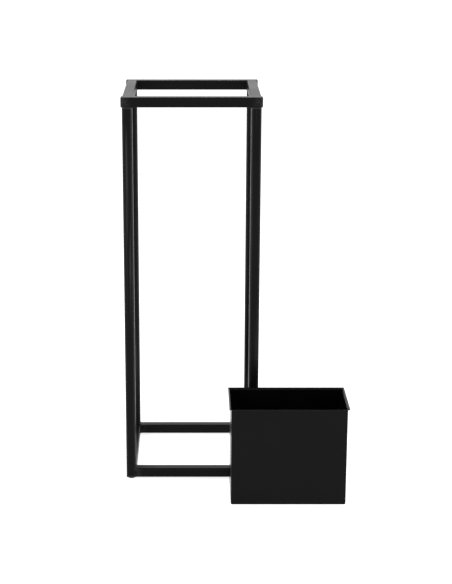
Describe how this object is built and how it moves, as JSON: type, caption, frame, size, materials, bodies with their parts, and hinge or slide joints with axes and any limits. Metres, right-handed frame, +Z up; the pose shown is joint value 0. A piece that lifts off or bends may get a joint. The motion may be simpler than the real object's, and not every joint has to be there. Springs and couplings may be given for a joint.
{
  "type": "umbrella stand",
  "caption": "Open square umbrella stand of welded black square tube, with a loose sheet-metal drip container that stands in its bottom ring or beside it.",
  "frame": {"origin": "on the floor, at the middle of the box that holds the frame and the container together", "axes": "+Z up, +X to the right along the front rails, +Y from the front to the back"},
  "size_m": [0.339, 0.307, 0.6],
  "materials": {
    "frame_coat": "satin black powder coat",
    "container_coat": "satin black powder coat",
    "cap_plastic": "fine moulded black",
    "glide_plastic": "moulded black"
  },
  "bodies": {
    "frame": {"front_left_post": "frame_coat", "front_right_post": "frame_coat", "back_left_post": "frame_coat", "back_right_post": "frame_coat", "top_front_rail": "frame_coat", "top_back_rail": "frame_coat", "top_left_rail": "frame_coat", "top_right_rail": "frame_coat", "bottom_front_rail": "frame_coat", "bottom_back_rail": "frame_coat", "bottom_left_rail": "frame_coat", "bottom_right_rail": "frame_coat", "top_front_left_end_cap": "cap_plastic", "top_front_right_end_cap": "cap_plastic", "top_back_left_end_cap": "cap_plastic", "top_back_right_end_cap": "cap_plastic", "front_left_foot_glide": "glide_plastic", "front_right_foot_glide": "glide_plastic", "back_left_foot_glide": "glide_plastic", "back_right_foot_glide": "glide_plastic"},
    "container": {"container_walls": "container_coat", "container_base": "container_coat"}
  },
  "joints": [
    {"name": "container_lift", "type": "slide", "parent": "frame", "child": "container", "axis": [0, 0, 1], "range_m": [0, 0.25]}
  ]
}
